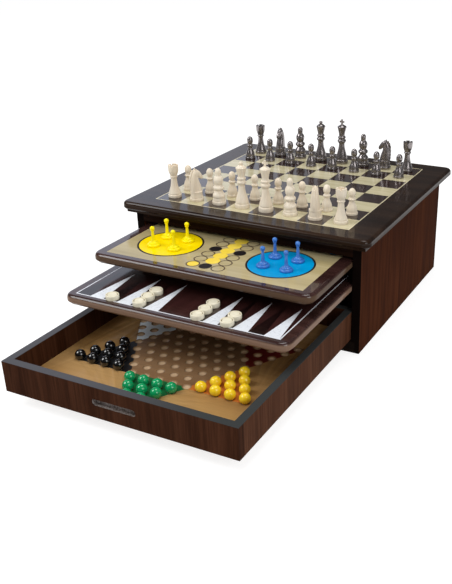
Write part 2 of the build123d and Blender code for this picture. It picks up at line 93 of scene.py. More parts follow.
class Graph:
    """A node tree, with short calls for the usual nodes."""

    def __init__(self, tree):
        self.tree = tree

    def node(self, kind, **settings):
        made = self.tree.nodes.new(kind)
        for key, value in settings.items():
            setattr(made, key, value)
        return made

    def link(self, a, b):
        self.tree.links.new(a, b)

    def feed(self, socket, value):
        """Sets a socket to a number or a colour, or links another node's output to it."""
        if isinstance(value, (int, float, tuple)):
            socket.default_value = value
        else:
            self.link(value, socket)

    def mix(self, share, a, b, blend="MIX"):
        """Mix of two colours, which a Mix node takes in its sockets 6 and 7."""
        made = self.node("ShaderNodeMix", data_type="RGBA", blend_type=blend)
        self.feed(made.inputs[0], share)
        self.feed(made.inputs[6], a)
        self.feed(made.inputs[7], b)
        return made.outputs[2]

    def mix_numbers(self, share, a, b):
        """Mix of two numbers, which a Mix node takes in its sockets 2 and 3."""
        made = self.node("ShaderNodeMix")
        self.feed(made.inputs[0], share)
        self.feed(made.inputs[2], a)
        self.feed(made.inputs[3], b)
        return made.outputs[0]

    def worked_out(self, operation, a, b):
        made = self.node("ShaderNodeMath", operation=operation)
        self.feed(made.inputs[0], a)
        self.feed(made.inputs[1], b)
        return made.outputs[0]

    def product(self, a, b):
        return self.worked_out("MULTIPLY", a, b)

    def larger(self, a, b):
        return self.worked_out("MAXIMUM", a, b)

    def spread(self, value, low, high, to_low=0.0, to_high=1.0, kind="SMOOTHSTEP"):
        """Carries a value over from the range low to high to the range to_low to to_high."""
        made = self.node("ShaderNodeMapRange", interpolation_type=kind)
        limits = {"From Min": low, "From Max": high, "To Min": to_low, "To Max": to_high}
        for socket, number in limits.items():
            made.inputs[socket].default_value = number
        self.link(value, made.inputs["Value"])
        return made.outputs["Result"]


REFRACTION = 1.5
GRAIN_ROUGHNESS = 0.6
BUMP_DEPTH = 0.3 * MM


class Surface(Graph):
    """A node material round one Principled shader."""

    def __init__(self, name, roughness, coat=0.0, coat_roughness=0.1, metallic=0.0, specular=0.5):
        self.material = bpy.data.materials.new(name)
        self.material.use_nodes = True
        super().__init__(self.material.node_tree)
        self.shader = self.tree.nodes["Principled BSDF"]
        self.shader.inputs["Roughness"].default_value = roughness
        self.shader.inputs["Coat Weight"].default_value = coat
        self.shader.inputs["Coat Roughness"].default_value = coat_roughness
        self.shader.inputs["Metallic"].default_value = metallic
        self.shader.inputs["IOR"].default_value = REFRACTION
        self.shader.inputs["Specular IOR Level"].default_value = specular
        self.place = self.node("ShaderNodeTexCoord").outputs["Object"]

    def stretched(self, scale, shift=(0, 0, 0)):
        mapping = self.node("ShaderNodeMapping")
        mapping.inputs["Scale"].default_value = scale
        mapping.inputs["Location"].default_value = shift
        self.link(self.place, mapping.inputs["Vector"])
        return mapping.outputs["Vector"]

    def noise(self, vector, detail, distortion=0.0):
        texture = self.node("ShaderNodeTexNoise")
        texture.inputs["Scale"].default_value = 1.0
        texture.inputs["Detail"].default_value = detail
        texture.inputs["Roughness"].default_value = GRAIN_ROUGHNESS
        texture.inputs["Distortion"].default_value = distortion
        self.link(vector, texture.inputs["Vector"])
        return texture.outputs["Fac"]

    def ramp(self, value, *stops):
        """Colour ramp; each stop is (position, colour)."""
        made = self.node("ShaderNodeValToRGB")
        elements = made.color_ramp.elements
        while len(elements) < len(stops):
            elements.new(0.5)
        for element, (position, colour) in zip(elements, stops):
            element.position = position
            element.color = colour
        self.link(value, made.inputs["Fac"])
        return made.outputs["Color"]

    def colour(self, output):
        self.link(output, self.shader.inputs["Base Color"])

    def bump(self, height, strength):
        made = self.node("ShaderNodeBump")
        made.inputs["Strength"].default_value = strength
        made.inputs["Distance"].default_value = BUMP_DEPTH
        self.link(height, made.inputs["Height"])
        self.link(made.outputs["Normal"], self.shader.inputs["Normal"])

    def height(self, low, high, axis="Z"):
        """0 to 1 as a point's place on one axis goes from low to high."""
        parts = self.node("ShaderNodeSeparateXYZ")
        self.link(self.place, parts.inputs[0])
        return self.spread(parts.outputs[axis], low, high)

    def rough(self, value, base, share):
        """Roughness that varies round its base by a share of it."""
        varied = self.spread(value, 0, 1, base * (1 - share), base * (1 + share), "LINEAR")
        self.link(varied, self.shader.inputs["Roughness"])


def along(axis, across, length):
    """Stretch of a grain texture: tight across the grain, long along it."""
    scale = [across, across, across]
    scale["xyz".index(axis)] = length
    return tuple(scale)


FIGURE_LENGTH = 12
PORES_ACROSS, PORES_ALONG = 420, 14
PORE_TONE = (0.35, 0.35, 0.35, 1)
GLOSS_STEP = 1.5 * MM


def wood(name, axis, dark, base, light, roughness=0.4, coat=0.0, shift=(0, 0, 0), figure=45, pores=0.5,
         specular=0.2, over=None, relief=0.12, matt_below=None):
    """Straight-grained stained wood; axis is the grain's direction, over(s, colour) adds to the colour."""
    s = Surface(name, roughness, coat, 0.08, specular=specular)
    broad = s.noise(s.stretched(along(axis, figure, figure / FIGURE_LENGTH), shift), 5, 0.6)
    fine = s.noise(s.stretched(along(axis, PORES_ACROSS, PORES_ALONG), shift), 3)
    body = s.ramp(broad, (0.28, dark), (0.5, base), (0.72, light))
    lines = s.ramp(fine, (0.38, PORE_TONE), (0.58, WHITE))
    grained = s.mix(pores, body, lines, "MULTIPLY")
    s.colour(over(s, grained) if over else grained)
    s.rough(broad, roughness, 0.15)
    s.bump(fine, relief)
    if matt_below is not None:
        gloss = s.height(matt_below - GLOSS_STEP, matt_below)
        s.link(s.product(gloss, coat), s.shader.inputs["Coat Weight"])
    return s.material


def squares_wood(name, dark, light, roughness, coat, tone):
    """Veneer squares whose tone and grain change from square to square."""
    s = Surface(name, roughness, coat, 0.06)
    cell = s.node("ShaderNodeVectorMath", operation="SNAP")
    cell.inputs[1].default_value = (SQUARE, SQUARE, 1)
    s.link(s.place, cell.inputs[0])
    pick = s.node("ShaderNodeTexWhiteNoise", noise_dimensions="3D")
    s.link(cell.outputs[0], pick.inputs["Vector"])
    offset = s.node("ShaderNodeVectorMath", operation="ADD")
    s.link(s.stretched((9, 130, 60)), offset.inputs[0])
    s.link(pick.outputs["Color"], offset.inputs[1])
    grain = s.noise(offset.outputs[0], 5, 0.8)
    body = s.ramp(grain, (0.3, dark), (0.7, light))
    shade = s.ramp(pick.outputs["Value"], (0.0, (tone, tone, tone, 1)), (1.0, WHITE))
    s.colour(s.mix(1.0, body, shade, "MULTIPLY"))
    s.rough(grain, roughness, 0.2)
    return s.material


CLOUD_SPREAD = 0.25
CLOUD_RELIEF = 0.03


def mottled(name, dark, light, roughness, coat=0.0, metallic=0.0, scale=300, specular=0.5):
    """Moulded, printed or painted surface with a faint cloudiness and micro texture."""
    s = Surface(name, roughness, coat, 0.05, metallic, specular)
    cloud = s.noise(s.stretched((scale, scale, scale)), 4)
    s.colour(s.ramp(cloud, (0.5 - CLOUD_SPREAD, dark), (0.5 + CLOUD_SPREAD, light)))
    s.rough(cloud, roughness, 0.15)
    s.bump(cloud, CLOUD_RELIEF)
    return s.material


# Tones painted over the grain. The shading in rim, drawer_shade and front_edge imitates the photo's light.
# It stays on its body when that moves, so it is kept faint.
# Painted shade on the drawer's floor
FLOOR_LEFT_SHADE = (0.8, 0.77, 0.72, 1)
FLOOR_BACK_SHADE = (0.8, 0.77, 0.75, 1)
# Painted light toward the foot of the cabinet's sides
FOOT_LIGHT = (1.2, 1.24, 1.22, 1)


def nose(face, pale):
    """Painted reflection: a paler tone on the rounded edge below a board's face."""
    def over(s, colour):
        edge = s.height(face - 1.0 * MM, face - 3.2 * MM)
        return s.mix(edge, colour, s.mix(0.7, colour, pale))
    return over


def rim(s, colour):
    """Slate grey on top of the drawer's walls, with painted reflection that darkens it toward the right."""
    slate_and_painted_reflection = s.mix(s.height(-60 * MM, 110 * MM, "X"), rgb(84, 84, 89), rgb(58, 60, 60))
    return s.mix(s.height(RIM - 0.5 * MM, RIM - 0.2 * MM), colour, slate_and_painted_reflection)


def front_rim(s, colour):
    """The rim, and inside the finger slot a pale milled tone that is painted reflection."""
    inside = s.height(FRONT_FACE + 0.4 * MM, FRONT_FACE + 1.2 * MM, "Y")
    above = s.height(SLOT_MIDDLE - SLOT_HALF_HEIGHT - 0.3 * MM, SLOT_MIDDLE - SLOT_HALF_HEIGHT)
    below = s.height(SLOT_MIDDLE + SLOT_HALF_HEIGHT + 0.3 * MM, SLOT_MIDDLE + SLOT_HALF_HEIGHT)
    from_left = s.height(-SLOT_HALF_LENGTH - 1 * MM, -SLOT_HALF_LENGTH, "X")
    from_right = s.height(SLOT_HALF_LENGTH + 1 * MM, SLOT_HALF_LENGTH, "X")
    in_front = s.height(FRONT_FACE + 6.5 * MM, FRONT_FACE + 6.0 * MM, "Y")
    slot = in_front
    for limit in (inside, above, below, from_left, from_right):
        slot = s.product(slot, limit)
    cuts = s.noise(s.stretched((600, 600, 160)), 3)
    milled = s.ramp(cuts, (0.35, rgb(84, 72, 66)), (0.65, rgb(160, 152, 148)))
    return rim(s, s.mix(slot, colour, milled))


def drawer_shade(s, colour):
    """Painted shade toward the left wall and back right corner; pale dimples, with painted shade at their
    edge.
    """
    left_wall_shade = s.mix(s.height(-118 * MM, -60 * MM, "X"), FLOOR_LEFT_SHADE, WHITE)
    right = s.height(30 * MM, 95 * MM, "X")
    back = s.height(floor_low.y + 26 * MM, floor_low.y + 70 * MM, "Y")
    back_corner_shade = s.mix(s.product(right, back), WHITE, FLOOR_BACK_SHADE)
    with_painted_shading = s.mix(1.0, s.mix(1.0, colour, left_wall_shade, "MULTIPLY"), back_corner_shade, "MULTIPLY")
    depth = s.height(DRAWER_FLOOR - 0.2 * MM, DRAWER_FLOOR - 1.3 * MM)
    dimple_wood_and_shade = s.mix(depth, rgb(120, 92, 66), rgb(198, 168, 134))
    return s.mix(s.height(DRAWER_FLOOR - 0.05 * MM, DRAWER_FLOOR - 0.15 * MM), with_painted_shading, dimple_wood_and_shade)


def front_edge(s, colour):
    """Sides with painted light, lighter toward the foot, and a black front edge."""
    painted_foot_light = s.mix(s.height(95 * MM, 10 * MM), WHITE, FOOT_LIGHT)
    with_painted_shading = s.mix(1.0, colour, painted_foot_light, "MULTIPLY")
    return s.mix(s.height(CABINET_FRONT + 1.2 * MM, CABINET_FRONT + 0.4 * MM, "Y"), with_painted_shading, rgb(16, 10, 8))


cabinet_side = wood(
    "cabinet_side_wood", "z", rgb(54, 24, 11), rgb(68, 34, 18), rgb(82, 44, 25), 0.6, specular=0.005,
    over=front_edge)
cabinet_front = wood(
    "cabinet_dark_wood", "x", rgb(10, 5, 3), rgb(18, 10, 6), rgb(28, 16, 10), 0.6, specular=0.03)
rail_wood = wood("rail_wood", "x", rgb(22, 11, 6), rgb(34, 19, 12), rgb(46, 28, 18), 0.6, specular=0.02)
# Dark wood, painted near-black as the shade inside the cabinet.
inside_shade_wood = wood("inside_shade_wood", "y", rgb(6, 3, 2), rgb(10, 6, 4), rgb(16, 10, 7), 0.7, specular=0.02)
top_lacquer = wood(
    "top_lacquer", "x", rgb(27, 16, 11), rgb(40, 26, 18), rgb(56, 40, 29), 0.24, 0.44, specular=0.06,
    relief=0.03, matt_below=TOP - 3.0 * MM)
ludo_lacquer = wood(
    "ludo_lacquer", "x", rgb(43, 24, 23), rgb(59, 36, 33), rgb(75, 49, 44), 0.2, 1.0, specular=0.05,
    over=nose(LUDO_TOP, rgb(98, 78, 60)), relief=0.04, matt_below=LUDO_TOP - 2.0 * MM)
# Its nose is paler than the ludo board's: painted light against the shade of the board above.
gammon_lacquer = wood(
    "gammon_lacquer", "x", rgb(42, 24, 22), rgb(60, 38, 35), rgb(78, 53, 48), 0.2, 0.88, specular=0.05,
    shift=(3, 5, 0), over=nose(GAMMON_TOP, rgb(150, 122, 102)), relief=0.04,
    matt_below=GAMMON_TOP - 2.0 * MM)
drawer_wood = wood(
    "drawer_wood", "z", rgb(52, 27, 15), rgb(66, 38, 24), rgb(81, 49, 33), 0.55, specular=0.01, over=rim)
drawer_front_wood = wood(
    "drawer_front_wood", "z", rgb(51, 27, 16), rgb(65, 38, 25), rgb(79, 48, 33), 0.55, specular=0.01,
    figure=60, over=front_rim)
# A lighter copy of the drawer's wood on its right side: painted light.
drawer_lit_side_wood = wood(
    "drawer_lit_side_wood", "z", rgb(70, 41, 27), rgb(86, 54, 38), rgb(102, 67, 49), 0.55, specular=0.01,
    over=rim)
dark_veneer = squares_wood("dark_veneer", rgb(30, 16, 12), rgb(54, 32, 26), 0.16, 0.5, 0.75)
light_veneer = squares_wood("light_veneer", rgb(188, 178, 138), rgb(220, 210, 174), 0.2, 0.4, 0.88)
cream_line = mottled("cream_line", rgb(206, 194, 156), rgb(222, 212, 178), 0.3, 0.3)
maple_field = wood(
    "maple_field", "x", rgb(160, 144, 100), rgb(180, 164, 120), rgb(196, 182, 142), 0.2, 0.4, figure=30,
    pores=0.08)
silver_print = mottled("silver_print", rgb(222, 226, 234), rgb(232, 236, 242), 0.28, 0.2)
dark_field = wood("dark_field", "y", rgb(35, 17, 16), rgb(50, 26, 25), rgb(64, 36, 34), 0.16, 0.5, pores=0.3)
brown_print = wood("brown_print", "y", rgb(16, 7, 7), rgb(24, 12, 12), rgb(32, 17, 17), 0.18, 0.5, pores=0.3)
golden_floor = wood(
    "golden_floor", "x", rgb(154, 116, 68), rgb(178, 138, 86), rgb(194, 156, 104), 0.38, 0.1, figure=24,
    pores=0.1, over=drawer_shade)
cream_men = wood("cream_men", "z", rgb(224, 206, 180), rgb(238, 224, 202), rgb(246, 236, 218), 0.34, 0.1,
                 figure=60, pores=0.1)
gunmetal_men = mottled("gunmetal_men", rgb(124, 118, 118), rgb(172, 165, 164), 0.27, 0.1, 0.9, 700)
yellow_plastic = mottled("yellow_plastic", rgb(254, 232, 0), rgb(255, 242, 0), 0.3, 0, 0, 200, specular=0.25)
blue_plastic = mottled("blue_plastic", rgb(44, 106, 192), rgb(72, 132, 210), 0.25, 0.3, 0, 200)
ivory_plastic = mottled("ivory_plastic", rgb(230, 222, 196), rgb(242, 236, 214), 0.3, 0.1, 0, 160)
green_glass = mottled("green_glass", rgb(4, 136, 78), rgb(20, 172, 106), 0.08, 0.6, 0, 220)
yellow_glass = mottled("yellow_glass", rgb(252, 200, 16), rgb(255, 226, 48), 0.08, 0.6, 0, 220)
black_glass = mottled("black_glass", rgb(4, 4, 6), rgb(14, 14, 16), 0.06, 1.0, 0, 220)
yellow_print = mottled("yellow_print", rgb(248, 214, 0), rgb(252, 224, 4), 0.25, 0, 0, 120, specular=0.2)
blue_print = mottled("blue_print", rgb(0, 142, 202), rgb(0, 156, 214), 0.25, 0, 0, 120, specular=0.15)
pale_yellow_print = mottled(
    "pale_yellow_print", rgb(238, 202, 50), rgb(248, 220, 92), 0.3, 0, 0, 160, specular=0.2)
groove_shade = mottled("groove_shade", rgb(122, 104, 76), rgb(146, 128, 98), 0.5, 0, 0, 300)
dark_print = mottled("dark_print", rgb(14, 6, 8), rgb(26, 14, 16), 0.5, 0.0, 0, 160)
ring_print = mottled("ring_print", rgb(64, 46, 32), rgb(84, 64, 44), 0.4, 0.0, 0, 160)
star_wood = wood(
    "star_wood", "x", rgb(106, 78, 52), rgb(130, 98, 68), rgb(148, 116, 84), 0.4, 0.1, figure=24,
    pores=0.12, over=drawer_shade)
green_paint = mottled("green_paint", rgb(0, 84, 40), rgb(4, 104, 52), 0.4, 0.1, 0, 160)
orange_paint = mottled("orange_paint", rgb(184, 100, 34), rgb(204, 120, 46), 0.4, 0.1, 0, 160)
red_paint = mottled("red_paint", rgb(84, 16, 14), rgb(104, 24, 20), 0.4, 0.1, 0, 160)
white_paint = mottled("white_paint", rgb(170, 176, 180), rgb(186, 192, 196), 0.4, 0.1, 0, 160)
grey_paint = mottled("grey_paint", rgb(228, 240, 248), rgb(238, 247, 252), 0.4, 0.1, 0, 160)
black_paint = mottled("black_paint", rgb(6, 6, 8), rgb(14, 14, 18), 0.5, 0.0, 0, 160)


# ---------------------------------------------------------------- CAD nodes that keep their shape
def smooth(obj, angle):
    """Smooth shading that keeps edges sharper than the angle."""
    obj.data.polygons.foreach_set("use_smooth", [True] * len(obj.data.polygons))
    mesh = obj.data
    sharp = mesh.attributes.get("sharp_edge") or mesh.attributes.new("sharp_edge", "BOOLEAN", "EDGE")
    normals = [p.normal.copy() for p in mesh.polygons]
    sides = {}
    for polygon in mesh.polygons:
        for key in polygon.edge_keys:
            sides.setdefault(key, []).append(normals[polygon.index])
    limit = math.cos(math.radians(angle))
    for edge in mesh.edges:
        faces = sides.get(tuple(sorted(edge.vertices)), [])
        sharp.data[edge.index].value = len(faces) != 2 or faces[0].dot(faces[1]) < limit


def dress(node, material):
    obj = nodes[node]
    obj.data.materials.clear()
    obj.data.materials.append(material)


finishes = {
    "left_side": cabinet_side, "right_side": cabinet_side, "back_panel": cabinet_side,
    "bottom_panel": cabinet_front, "top_rail": rail_wood, "top_board": top_lacquer,
    "dark_squares": dark_veneer, "light_squares": light_veneer, "chess_line": cream_line,
    "drawer_glides": inside_shade_wood, "lower_runners": inside_shade_wood, "middle_runners": inside_shade_wood,
    "upper_runners": inside_shade_wood, "ludo_board": ludo_lacquer, "ludo_field": maple_field,
    "backgammon_board": gammon_lacquer, "backgammon_line": silver_print,
    "dark_points": brown_print, "light_points": silver_print, "backgammon_field": dark_field,
    "drawer_front": drawer_front_wood, "drawer_back": drawer_wood, "drawer_left": drawer_wood,
    "drawer_right": drawer_lit_side_wood,
}
for node, material in finishes.items():
    dress(node, material)


# ---------------------------------------------------------------- mesh helpers
def piece(name, build, material, body, replaced=(), shade=35):
    """A piece that build(bm) makes in the part's own frame, and that rides on a body."""
    mesh = bpy.data.meshes.new(name)
    bm = bmesh.new()
    build(bm)
    bmesh.ops.recalc_face_normals(bm, faces=bm.faces)
    bm.to_mesh(mesh)
    bm.free()
    obj = bpy.data.objects.new(name, mesh)
    bpy.context.scene.collection.objects.link(obj)
    mesh.materials.append(material)
    if shade:
        smooth(obj, shade)
    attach(obj, body)
    if replaced:
        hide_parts(*replaced)
    return obj


ON_AXIS = 1e-7


def lathe(bm, centre, profile, sides=40):
    """Turns a profile of (radius, height) points round the vertical axis at centre."""
    x, y, z = centre
    rings = []
    for radius, height in profile:
        if radius < ON_AXIS:
            rings.append([bm.verts.new((x, y, z + height))])
        else:
            rings.append([
                bm.verts.new((x + radius * math.cos(a), y + radius * math.sin(a), z + height))
                for a in (2 * math.pi * k / sides for k in range(sides))
            ])
    for low, high in zip(rings, rings[1:]):
        for k in range(sides):
            n = (k + 1) % sides
            corners = []
            for v in (low[k % len(low)], low[n % len(low)], high[n % len(high)], high[k % len(high)]):
                if v not in corners:
                    corners.append(v)
            if len(corners) > 2:
                bm.faces.new(corners)
    for ring in (rings[0], rings[-1]):
        if len(ring) > 1:
            bm.faces.new(ring)


def curve(points, steps=5):
    """Rounds a profile: a Catmull-Rom line through its points; a repeated point stays a corner."""
    out = []
    count = len(points)
    for i in range(count - 1):
        p1, p2 = points[i], points[i + 1]
        if p1 == p2:
            continue
        p0 = points[i - 1] if i > 0 else p1
        p3 = points[i + 2] if i + 2 < count else p2
        for k in range(steps):
            t = k / steps
            out.append(tuple(
                0.5 * (2 * b + (c - a) * t + (2 * a - 5 * b + 4 * c - d) * t * t
                       + (3 * b - a - 3 * c + d) * t ** 3)
                for a, b, c, d in zip(p0, p1, p2, p3)
            ))
    out.append(points[-1])
    return [(max(0.0, r), h) for r, h in out]


BALL_STEPS = 10


def ball(radius, low, high, neck):
    """Profile of a ball head between two heights, from its neck radius up to its top."""
    centre, rise = middle(low, high), (high - low) / 2
    start = -math.acos(min(1.0, neck / radius))
    angles = [start + (math.pi / 2 - start) * k / BALL_STEPS for k in range(BALL_STEPS + 1)]
    return [(radius * math.cos(a), centre + rise * math.sin(a)) for a in angles]


def scaled(points, radius, height):
    return [(r * radius, h * height) for r, h in points]


def bridge(bm, loops):
    """Joins each loop of vertices to the next with four-cornered faces."""
    for a, b in zip(loops, loops[1:]):
        for k in range(len(a)):
            n = (k + 1) % len(a)
            bm.faces.new((a[k], a[n], b[n], b[k]))


def slab(bm, *outlines):
    """Solid between two outlines with the same number of points."""
    loops = [[bm.verts.new(point) for point in outline] for outline in outlines]
    for loop in loops:
        bm.faces.new(loop)
    bridge(bm, loops)


def prism(bm, outline, low, high):
    """Upright prism over an outline of (x, y) points."""
    slab(bm, [(x, y, low) for x, y in outline], [(x, y, high) for x, y in outline])


def circle(x, y, radius, sides):
    angles = [2 * math.pi * k / sides for k in range(sides)]
    return [(x + radius * math.cos(a), y + radius * math.sin(a)) for a in angles]


def ring(bm, x, y, outer, inner, low, high, sides):
    """Flat ring with a square section."""
    loops = [
        [bm.verts.new((px, py, z)) for px, py in circle(x, y, radius, sides)]
        for radius, z in ((outer, low), (outer, high), (inner, high), (inner, low))
    ]
    bridge(bm, loops + loops[:1])


# ---------------------------------------------------------------- chessmen
PAWN = (6.4 * MM, 28.5 * MM)
ROOK = (7.4 * MM, 36.5 * MM)
KNIGHT = (7.6 * MM, 36.5 * MM)
BISHOP = (7.6 * MM, 40.0 * MM)
QUEEN = (7.9 * MM, 50.5 * MM)
KING = (7.9 * MM, 55.0 * MM)

BASE = [(0.0, 0.0), (0.96, 0.0), (0.96, 0.0), (1.0, 0.02), (1.0, 0.07), (0.96, 0.09), (0.88, 0.1),
        (0.88, 0.11), (0.91, 0.12), (0.88, 0.145)]


def men_profile(body, size):
    return scaled(curve(BASE + body), *size)


PAWN_LINE = men_profile(
    [(0.87, 0.2), (0.77, 0.29), (0.6, 0.38), (0.48, 0.46), (0.45, 0.51), (0.52, 0.545), (0.62, 0.575),
     (0.6, 0.61), (0.45, 0.64)], PAWN
) + ball(0.6 * PAWN[0], 0.62 * PAWN[1], PAWN[1], 0.43 * PAWN[0])
ROOK_LINE = men_profile(
    [(0.82, 0.18), (0.7, 0.25), (0.57, 0.34), (0.48, 0.45), (0.44, 0.56), (0.46, 0.6), (0.55, 0.62),
     (0.57, 0.645), (0.5, 0.67), (0.55, 0.7), (0.68, 0.77), (0.75, 0.84), (0.76, 1.0), (0.76, 1.0),
     (0.54, 1.0), (0.54, 1.0), (0.52, 0.92), (0.52, 0.92), (0.0, 0.9)], ROOK
)
# Between the merlons the rim is lower, while the cup inside keeps its own profile
ROOK_LINE = [(r, min(h, 0.955 * ROOK[1]) if r > 0.5 * ROOK[0] else h) for r, h in ROOK_LINE]
BISHOP_LINE = men_profile(
    [(0.84, 0.17), (0.84, 0.19), (0.9, 0.22), (0.87, 0.27), (0.7, 0.32), (0.54, 0.36), (0.54, 0.385),
     (0.72, 0.415), (0.8, 0.45), (0.74, 0.485), (0.55, 0.52), (0.52, 0.545), (0.63, 0.59), (0.69, 0.66),
     (0.64, 0.72), (0.5, 0.77), (0.42, 0.79)], BISHOP
) + ball(0.44 * BISHOP[0], 0.78 * BISHOP[1], BISHOP[1], 0.4 * BISHOP[0])
QUEEN_LINE = men_profile(
    [(0.84, 0.18), (0.72, 0.24), (0.57, 0.32), (0.47, 0.41), (0.44, 0.49), (0.5, 0.515), (0.64, 0.54),
     (0.64, 0.57), (0.5, 0.595), (0.5, 0.605), (0.59, 0.625), (0.59, 0.65), (0.47, 0.675), (0.5, 0.72),
     (0.61, 0.79), (0.73, 0.87), (0.73, 0.87), (0.66, 0.875), (0.52, 0.9), (0.3, 0.92), (0.2, 0.93)], QUEEN
) + ball(0.28 * QUEEN[0], 0.92 * QUEEN[1], QUEEN[1], 0.18 * QUEEN[0])
KING_LINE = men_profile(
    [(0.84, 0.17), (0.73, 0.23), (0.58, 0.31), (0.48, 0.39), (0.45, 0.455), (0.52, 0.475), (0.66, 0.5),
     (0.66, 0.53), (0.52, 0.555), (0.52, 0.565), (0.61, 0.585), (0.61, 0.605), (0.48, 0.625),
     (0.47, 0.66), (0.52, 0.71), (0.64, 0.78), (0.72, 0.825), (0.72, 0.835), (0.62, 0.85), (0.4, 0.87),
     (0.2, 0.885), (0.14, 0.89), (0.0, 0.89)], KING
)


def square_centre(column, row):
    first = (SIDE_SQUARES - 1) / 2
    return ((column - first) * SQUARE, (row - first) * SQUARE)


def turned_men(name, line, columns, row, material, body, node, extra=None):
    def build(bm):
        for column in columns:
            x, y = square_centre(column, row)
            lathe(bm, (x, y, TOP), line)
            if extra:
                extra(bm, x, y)
    piece(name, build, material, body, (node,))


def cross(bm, x, y):
    """The king's cross, with arms that flare."""
    radius, height = KING
    low, high = TOP + 0.88 * height, TOP + height
    centre = low + 0.56 * (high - low)
    foot, arm, waist, depth = 0.16 * radius, 0.36 * radius, 0.09 * radius, 0.12 * radius
    right = [
        (foot, low), (waist, centre - waist), (arm, centre - 1.6 * waist), (arm, centre + 1.6 * waist),
        (waist, centre + waist), (1.5 * waist, high),
    ]
    outline = [(-foot, low)] + right + [(-u, v) for u, v in reversed(right[1:])]
    slab(bm, [(x + u, y - depth, v) for u, v in outline], [(x + u, y + depth, v) for u, v in outline])


MERLONS, MERLON_STEPS = 5, 4
MERLON_SPAN, MERLON_START = math.radians(52), math.radians(12)


def merlons(bm, x, y):
    """Merlons round the rook's rim."""
    radius, height = ROOK
    outer, inner = 0.76 * radius, 0.54 * radius
    for k in range(MERLONS):
        start = 2 * math.pi * k / MERLONS + MERLON_START
        angles = [start + MERLON_SPAN * t / MERLON_STEPS for t in range(MERLON_STEPS + 1)]
        outline = [(x + outer * math.cos(a), y + outer * math.sin(a)) for a in angles]
        outline += [(x + inner * math.cos(a), y + inner * math.sin(a)) for a in reversed(angles)]
        prism(bm, outline, TOP + 0.94 * height, TOP + height)


KNIGHT_FOOT = men_profile(
    [(0.86, 0.2), (0.84, 0.24), (0.84, 0.24), (0.88, 0.25), (0.88, 0.28), (0.78, 0.3), (0.0, 0.31)], KNIGHT)
# Slices of the neck and head: forward, up, half length along the facing, half width, tilt in degrees
KNIGHT_SLICES = [
    (-0.04, 0.27, 0.88, 0.86, 0), (-0.06, 0.36, 0.86, 0.84, 2), (-0.1, 0.46, 0.81, 0.8, 6),
    (-0.16, 0.56, 0.75, 0.74, 14), (-0.2, 0.66, 0.7, 0.68, 26), (-0.14, 0.76, 0.64, 0.6, 42),
    (0.0, 0.83, 0.58, 0.54, 60), (0.2, 0.845, 0.52, 0.5, 84), (0.44, 0.8, 0.46, 0.44, 108),
    (0.67, 0.745, 0.38, 0.38, 118), (0.88, 0.695, 0.31, 0.32, 122), (1.02, 0.665, 0.18, 0.22, 124),
]
SLICE_POINTS = 24
KNIGHT_MANE = [
    (-0.9, 0.33), (-1.0, 0.38), (-0.94, 0.42), (-1.02, 0.5), (-0.95, 0.54), (-1.02, 0.62), (-0.94, 0.67),
    (-0.96, 0.76), (-0.84, 0.79), (-0.8, 0.87), (-0.62, 0.88), (-0.5, 0.95), (-0.3, 0.93), (-0.1, 0.985),
    (-0.1, 0.86), (-0.4, 0.78), (-0.58, 0.62), (-0.56, 0.4),
]


def knight_head(bm, facing):
    """Neck and head: oval slices along a bent spine."""
    radius, height = KNIGHT
    loops = []
    for forward, up, half, wide, tilt in KNIGHT_SLICES:
        lean = math.radians(tilt)
        loop = []
        for k in range(SLICE_POINTS):
            a = 2 * math.pi * k / SLICE_POINTS
            u = half * radius * math.cos(a)
            v = wide * radius * math.sin(a) * (0.8 + 0.2 * math.cos(a) ** 2)
            point = Vector((forward * radius + u * math.cos(lean), v, up * height - u * math.sin(lean)))
            loop.append(bm.verts.new(facing @ point))
        loops.append(loop)
    bridge(bm, loops)
    bm.faces.new(loops[0])
    bm.faces.new(loops[-1])


def knight_ears(bm, facing):
    """Two pointed ears."""
    radius, height = KNIGHT
    for aside in (-0.26 * radius, 0.26 * radius):
        foot = [
            bm.verts.new(facing @ Vector((0.18 * radius * c, aside + 0.16 * radius * d, 0.88 * height)))
            for c, d in ((1, 0), (0, 1), (-1, 0), (0, -1))
        ]
        tip = bm.verts.new(facing @ Vector((-0.02 * radius, aside, height)))
        for k in range(len(foot)):
            bm.faces.new((foot[k - 1], foot[k], tip))
        bm.faces.new(foot)


def knight_mane(bm, facing):
    """The mane, a scalloped plate along the neck."""
    radius, height = KNIGHT
    slab(bm, *(
        [facing @ Vector((u * radius, aside, v * height)) for u, v in KNIGHT_MANE]
        for aside in (0.12 * radius, -0.12 * radius)
    ))


def knight_men(name, columns, row, turns, material, body, node):
    """Knights: a turned foot with a horse's head, each turned by its own angle."""
    def build(bm):
        for column, turn in zip(columns, turns):
            x, y = square_centre(column, row)
            facing = Matrix.Translation((x, y, TOP)) @ Matrix.Rotation(math.radians(turn), 4, "Z")
            lathe(bm, (x, y, TOP), KNIGHT_FOOT)
            knight_head(bm, facing)
            knight_ears(bm, facing)
            knight_mane(bm, facing)
    piece(name, build, material, body, (node,), 50)


def chess_side(colour, row, pawn_row, material, knight_turns):
    """The sixteen men of one colour."""
    body = f"{colour}_chessmen"

    def men(name, line, columns, place, node, extra=None):
        turned_men(f"{colour}_{name}", line, columns, place, material, body, f"{colour}_{node}", extra)

    men("pawn_men", PAWN_LINE, range(SIDE_SQUARES), pawn_row, "pawns")
    men("rook_men", ROOK_LINE, (0, 7), row, "rooks", merlons)
    men("bishop_men", BISHOP_LINE, (2, 5), row, "bishops")
    men("queen_man", QUEEN_LINE, (3,), row, "queen")
    men("king_man", KING_LINE, (4,), row, "king", cross)
    knight_men(f"{colour}_knight_men", (1, 6), row, knight_turns, material, body, f"{colour}_knights")


# The knights' turns in degrees follow the photo; the CAD part has both white ones at 90
chess_side("white", 0, 1, cream_men, (60, 105))
chess_side("black", 7, 6, gunmetal_men, (-90, 180))


